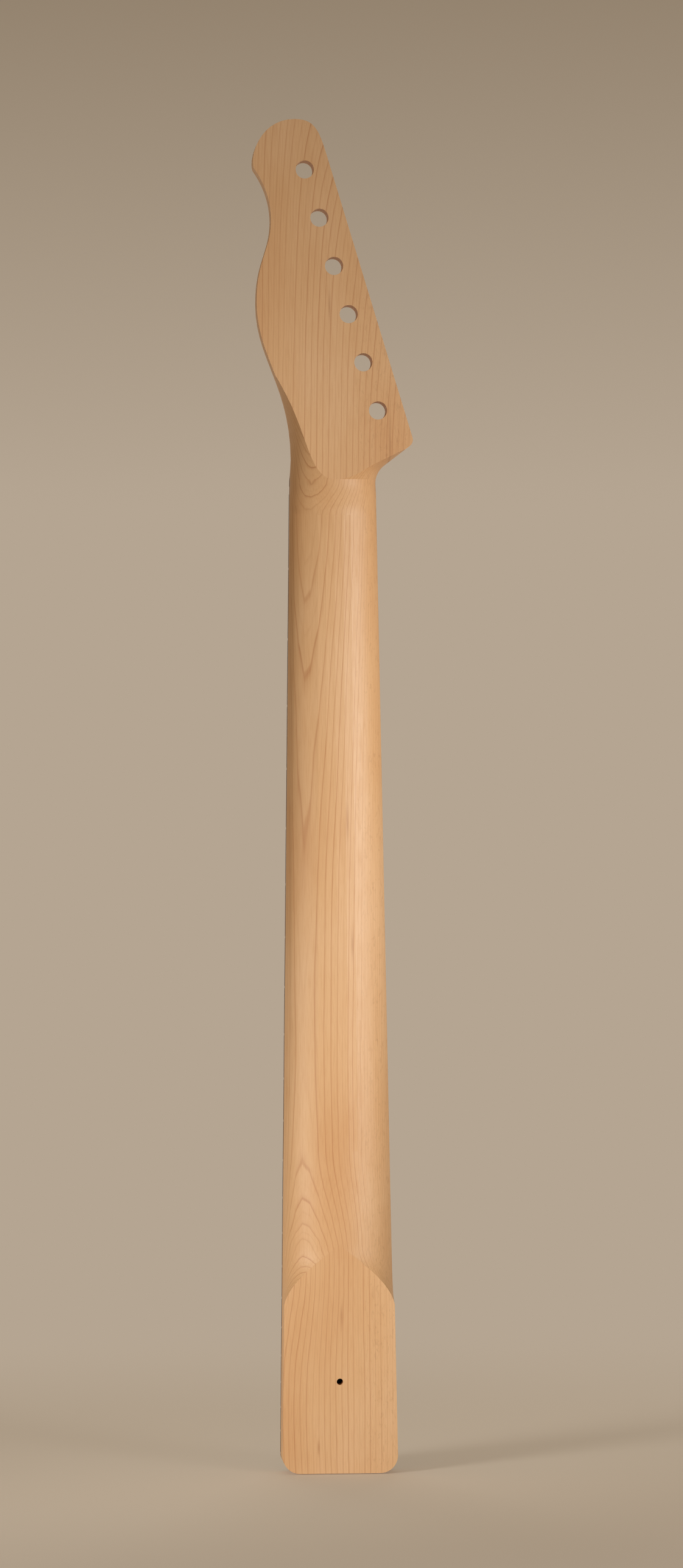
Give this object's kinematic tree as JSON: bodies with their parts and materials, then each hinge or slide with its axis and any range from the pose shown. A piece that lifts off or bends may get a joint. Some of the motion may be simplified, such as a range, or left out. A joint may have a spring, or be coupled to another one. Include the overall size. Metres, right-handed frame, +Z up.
{
  "type": "guitar neck",
  "caption": "Bolt-on electric guitar neck with a one-sided headstock, C-shaped back, radiused fingerboard, frets, nut and two-way truss rod.",
  "frame": {"origin": "centre of the heel's end face, half way through the heel's thickness", "axes": "+Z up the neck to the headstock, +X towards the tuner side, -Y out of the back"},
  "size_m": [0.0766, 0.027, 0.6539],
  "materials": {
    "maple": "raw, sanded hard maple",
    "rosewood": "oiled rosewood",
    "fret_wire": "polished nickel silver",
    "bone": "polished bone",
    "pearl": "polished pearl plastic",
    "white_plastic": "sanded white plastic",
    "steel": "zinc-plated steel",
    "black_steel": "black-oxide steel"
  },
  "bodies": {
    "neck": {"face_dot_03": "pearl", "face_dot_05": "pearl", "face_dot_07": "pearl", "face_dot_09": "pearl", "face_dot_12_bass": "pearl", "face_dot_12_treble": "pearl", "face_dot_15": "pearl", "face_dot_17": "pearl", "face_dot_19": "pearl", "face_dot_21": "pearl", "fingerboard": "rosewood", "fret_01": "fret_wire", "fret_02": "fret_wire", "fret_03": "fret_wire", "fret_04": "fret_wire", "fret_05": "fret_wire", "fret_06": "fret_wire", "fret_07": "fret_wire", "fret_08": "fret_wire", "fret_09": "fret_wire", "fret_10": "fret_wire", "fret_11": "fret_wire", "fret_12": "fret_wire", "fret_13": "fret_wire", "fret_14": "fret_wire", "fret_15": "fret_wire", "fret_16": "fret_wire", "fret_17": "fret_wire", "fret_18": "fret_wire", "fret_19": "fret_wire", "fret_20": "fret_wire", "fret_21": "fret_wire", "fret_22": "fret_wire", "front_block": "steel", "neck_blank": "maple", "nut": "bone", "rear_block": "steel", "side_dot_03": "white_plastic", "side_dot_05": "white_plastic", "side_dot_07": "white_plastic", "side_dot_09": "white_plastic", "side_dot_12_lower": "white_plastic", "side_dot_12_upper": "white_plastic", "side_dot_15": "white_plastic", "side_dot_17": "white_plastic", "side_dot_19": "white_plastic", "side_dot_21": "white_plastic", "truss_bar": "steel"},
    "adjusting_rod": {"truss_rod": "black_steel"}
  },
  "joints": [
    {"name": "truss_rod_turn", "type": "hinge", "parent": "neck", "child": "adjusting_rod", "pos_m": [0, -0.0003, 0.484], "axis": [0, 0, 1], "range_deg": [-360, 360]}
  ]
}
